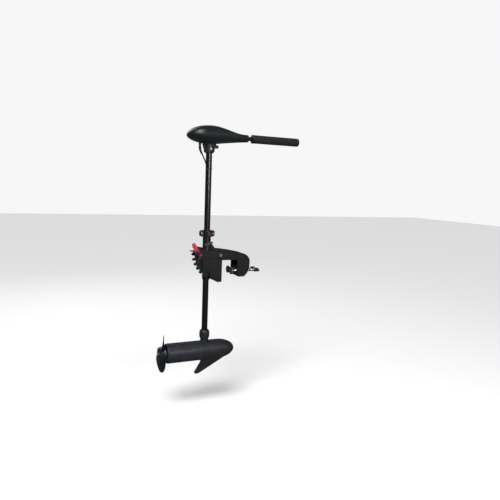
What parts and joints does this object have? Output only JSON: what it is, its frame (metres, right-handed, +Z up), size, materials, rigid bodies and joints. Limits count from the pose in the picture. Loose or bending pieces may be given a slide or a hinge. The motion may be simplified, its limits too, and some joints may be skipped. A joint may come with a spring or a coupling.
{
  "type": "trolling motor",
  "caption": "Transom-mount electric trolling motor: clamp bracket with notched tilt quadrant, steering column, tiller head, shaft, motor pod with skeg and two-blade propeller.",
  "frame": {"origin": "centre of the bracket face that bears on the outside of the transom", "axes": "+X points into the boat, square to the transom face; +Y to port; +Z up along the shaft"},
  "size_m": [0.681, 0.1557, 1.153],
  "materials": {
    "head_plastic": "moulded, faint grain, semi-matt",
    "socket_plastic": "moulded glass-filled nylon, worn grey",
    "bracket_plastic": "moulded glass-filled nylon",
    "lever_red": "moulded red plastic",
    "knob_maroon": "moulded dark red plastic",
    "knob_grey": "moulded plastic",
    "nylon": "plain nylon",
    "shaft_black": "black glass-fibre composite, satin gloss",
    "pod_paint": "die-cast, satin black enamel",
    "tube_paint": "steel tube, satin black enamel",
    "cap_paint": "die-cast, satin black enamel",
    "grip_rubber": "ribbed soft rubber",
    "rod_paint": "black anodised tube",
    "cable_jacket": "flexible jacket",
    "plug_plastic": "moulded",
    "prop_plastic": "moulded, slightly glossy",
    "steel": "stainless",
    "black_steel": "blackened steel",
    "bearing_steel": "ground",
    "seal_rubber": "nitrile",
    "magnet": "ferrite",
    "core_steel": "laminated steel",
    "copper": "enamelled copper",
    "carbon": "carbon",
    "phenolic": "phenolic board",
    "switch_plastic": "moulded"
  },
  "bodies": {
    "bracket": {"clamp_bracket": "bracket_plastic", "pivot_bolt": "steel", "pivot_nut": "steel", "lever_pin": "black_steel", "lock_spring": "black_steel"},
    "lever": {"tilt_lever": "lever_red"},
    "lock": {"lock_pin": "black_steel"},
    "pad_port": {"clamp_pad_port": "knob_grey"},
    "screw_port": {"clamp_screw_port": "steel", "clamp_knob_port": "plug_plastic"},
    "pad_starboard": {"clamp_pad_starboard": "knob_grey"},
    "screw_starboard": {"clamp_screw_starboard": "steel", "clamp_knob_starboard": "plug_plastic"},
    "yoke": {"tilt_yoke": "bracket_plastic", "steering_bushings": "nylon", "steering_pad": "nylon"},
    "column_knob": {"steering_knob": "knob_grey"},
    "collar": {"collar_near_half": "bracket_plastic", "collar_far_half": "bracket_plastic", "collar_screws": "steel"},
    "collar_knob": {"depth_knob": "knob_maroon"},
    "shaft": {"shaft_tube": "shaft_black", "motor_leads": "cable_jacket", "head_top_cover": "head_plastic", "head_housing": "head_plastic", "head_screws": "steel", "speed_switch": "switch_plastic", "terminal_block": "switch_plastic", "tiller_bushing": "bracket_plastic", "neck_socket": "socket_plastic", "neck_bolt": "steel", "cable_gland": "socket_plastic", "battery_cable": "cable_jacket", "cable_hank": "cable_jacket", "battery_plug": "plug_plastic", "cable_ties": "plug_plastic", "shaft_boot": "pod_paint", "nose_casting": "pod_paint", "motor_casing": "tube_paint", "rear_end_cap": "cap_paint", "case_seals": "seal_rubber", "through_bolts": "steel", "magnets": "magnet", "motor_bearings": "bearing_steel", "shaft_seal": "seal_rubber", "brush_holder": "phenolic", "brushes": "carbon"},
    "head_knob": {"neck_knob": "knob_maroon"},
    "speed": {"speed_sleeve": "rod_paint"},
    "tiller": {"tiller_rod": "rod_paint", "tiller_grip": "grip_rubber", "grip_end_cap": "grip_rubber"},
    "prop": {"armature_core": "core_steel", "armature_windings": "copper", "commutator": "copper", "motor_shaft": "bearing_steel", "drive_pin": "bearing_steel", "propeller": "prop_plastic", "prop_washer": "steel", "prop_nut": "steel"}
  },
  "joints": [
    {"name": "tilt", "type": "hinge", "parent": "bracket", "child": "yoke", "pos_m": [-0.009, 0, 0.074], "axis": [0, 1, 0], "range_deg": [0, 90]},
    {"name": "steer", "type": "hinge", "parent": "yoke", "child": "collar", "pos_m": [-0.062, 0, 0.17], "axis": [0, 0, 1], "continuous": true},
    {"name": "depth", "type": "slide", "parent": "collar", "child": "shaft", "axis": [0, 0, 1], "range_m": [-0.168, 0.238]},
    {"name": "speed_twist", "type": "hinge", "parent": "shaft", "child": "speed", "pos_m": [-0.062, 0, 0.61], "axis": [1, 0, 0], "range_deg": [-60, 100]},
    {"name": "tiller_extend", "type": "slide", "parent": "speed", "child": "tiller", "axis": [1, 0, 0], "range_m": [0, 0.12]},
    {"name": "prop_spin", "type": "hinge", "parent": "shaft", "child": "prop", "pos_m": [-0.062, 0, -0.384], "axis": [1, 0, 0], "continuous": true},
    {"name": "head_knob_turn", "type": "hinge", "parent": "shaft", "child": "head_knob", "pos_m": [-0.027, 0, 0.563], "axis": [1, 0, 0], "range_deg": [-360, 360]},
    {"name": "depth_knob_turn", "type": "hinge", "parent": "collar", "child": "collar_knob", "pos_m": [-0.062, -0.03, 0.1705], "axis": [0, -1, 0], "range_deg": [-360, 360]},
    {"name": "steering_knob_turn", "type": "hinge", "parent": "yoke", "child": "column_knob", "pos_m": [-0.062, -0.03, 0.126], "axis": [0, -1, 0], "range_deg": [-360, 360]},
    {"name": "screw_port_turn", "type": "hinge", "parent": "pad_port", "child": "screw_port", "pos_m": [0.1, 0.021, -0.004], "axis": [-1, 0, 0], "range_deg": [-1621, 3241]},
    {"name": "pad_port_slide", "type": "slide", "parent": "bracket", "child": "pad_port", "axis": [-1, 0, 0], "range_m": [-0.018, 0.036]},
    {"name": "screw_starboard_turn", "type": "hinge", "parent": "pad_starboard", "child": "screw_starboard", "pos_m": [0.1, -0.021, -0.004], "axis": [-1, 0, 0], "range_deg": [-1621, 3241]},
    {"name": "pad_starboard_slide", "type": "slide", "parent": "bracket", "child": "pad_starboard", "axis": [-1, 0, 0], "range_m": [-0.018, 0.036]},
    {"name": "lock_lever", "type": "hinge", "parent": "bracket", "child": "lever", "pos_m": [-0.111, -0.0615, 0.076], "axis": [0.6184, 0, 0.7859], "range_deg": [-13.1, 0]},
    {"name": "lock_slide", "type": "slide", "parent": "bracket", "child": "lock", "axis": [0, -1, 0], "range_m": [-0.0074, 0], "deforming": ["lock_spring"]}
  ],
  "couplings": [
    {"joint": "screw_port_turn", "follows": "pad_port_slide", "rad_per_m": 1570.8},
    {"joint": "screw_starboard_turn", "follows": "pad_starboard_slide", "rad_per_m": 1570.8},
    {"joint": "lock_lever", "follows": "lock_slide", "rad_per_m": 30.77}
  ]
}
